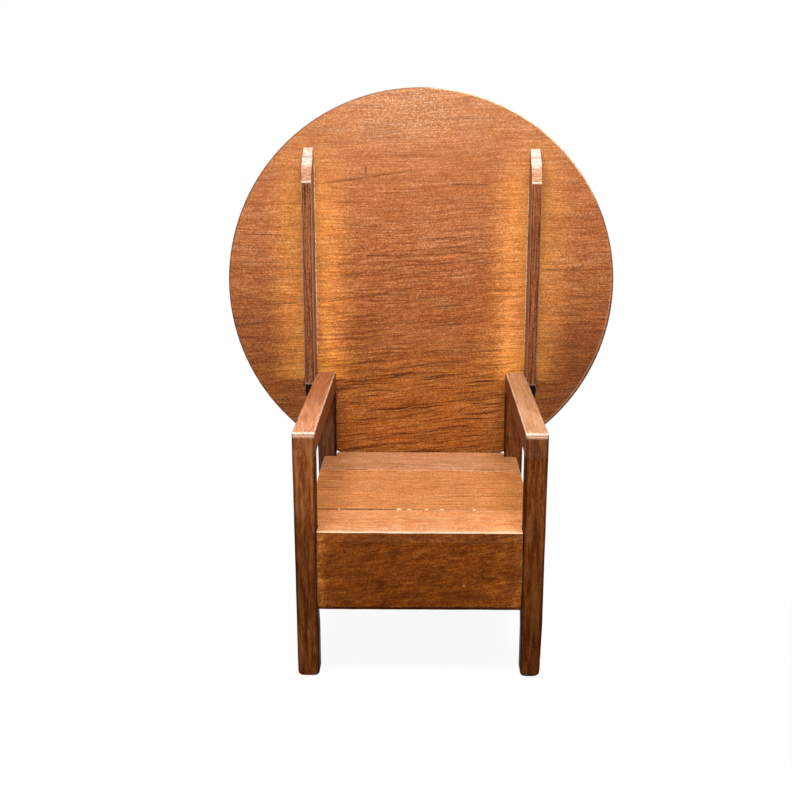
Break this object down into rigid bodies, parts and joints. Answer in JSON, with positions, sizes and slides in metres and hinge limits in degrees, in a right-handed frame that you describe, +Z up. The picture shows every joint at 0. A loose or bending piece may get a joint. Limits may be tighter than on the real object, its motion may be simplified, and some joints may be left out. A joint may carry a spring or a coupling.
{
  "type": "chair table",
  "caption": "Box-seated wooden armchair whose round back tilts forward on wooden pins to rest on the arms as a table top, with a lift-up seat lid over a storage box.",
  "frame": {"origin": "on the floor under the middle of the overall bounding box", "axes": "+Z up; the sitter faces -Y, so +Y is the back, where the upright round top stands; +X is to the right as seen from in front"},
  "size_m": [1.2198, 0.7774, 1.574],
  "materials": {
    "top_wood": "gloss lacquered mahogany, grain across the chair",
    "batten_wood": "lacquered mahogany, darker",
    "arm_wood": "lacquered mahogany, rubbed paler",
    "leg_wood": "lacquered mahogany, dark red-brown",
    "seat_wood": "lacquered mahogany, rubbed paler",
    "panel_wood": "lacquered mahogany, figured",
    "inner_wood": "unfinished secondary wood",
    "pin_wood": "turned hardwood, waxed",
    "dowel_wood": "plain birch dowel",
    "hinge_brass": "aged brass",
    "hinge_steel": "plain steel wire",
    "screw_brass": "aged brass"
  },
  "bodies": {
    "chair": {"arm_left": "arm_wood", "arm_right": "arm_wood", "back_panel": "panel_wood", "bottom_cleat_back": "inner_wood", "bottom_cleat_front": "inner_wood", "bottom_cleat_left": "inner_wood", "bottom_cleat_right": "inner_wood", "box_bottom": "inner_wood", "fixed_leaf_screws": "screw_brass", "front_leg_left": "leg_wood", "front_leg_right": "leg_wood", "front_panel": "panel_wood", "hinge_left_fixed_leaf": "hinge_brass", "hinge_pin_left": "hinge_steel", "hinge_pin_right": "hinge_steel", "hinge_right_fixed_leaf": "hinge_brass", "panel_dowels": "dowel_wood", "rear_leg_left": "leg_wood", "rear_leg_right": "leg_wood", "seat_cleat_left": "inner_wood", "seat_cleat_right": "inner_wood", "seat_rear_board": "seat_wood", "side_panel_left": "panel_wood", "side_panel_right": "panel_wood"},
    "seat_lid": {"lid_front_board": "seat_wood", "lid_middle_board": "seat_wood", "lid_cleat_left": "inner_wood", "lid_cleat_right": "inner_wood", "lid_cleat_screws": "screw_brass", "hinge_left_lid_leaf": "hinge_brass", "hinge_right_lid_leaf": "hinge_brass", "lid_leaf_screws": "screw_brass"},
    "top": {"table_top": "top_wood", "batten_left": "batten_wood", "batten_right": "batten_wood", "batten_dowels": "dowel_wood", "pivot_pin_left": "pin_wood", "pivot_pin_right": "pin_wood"}
  },
  "joints": [
    {"name": "top_tilt", "type": "hinge", "parent": "chair", "child": "top", "pos_m": [0, 0.33025, 0.66], "axis": [1, 0, 0], "range_deg": [0, 90]},
    {"name": "seat_lid_hinge", "type": "hinge", "parent": "chair", "child": "seat_lid", "pos_m": [0, 0.15825, 0.4168], "axis": [-1, 0, 0], "range_deg": [0, 22]}
  ]
}
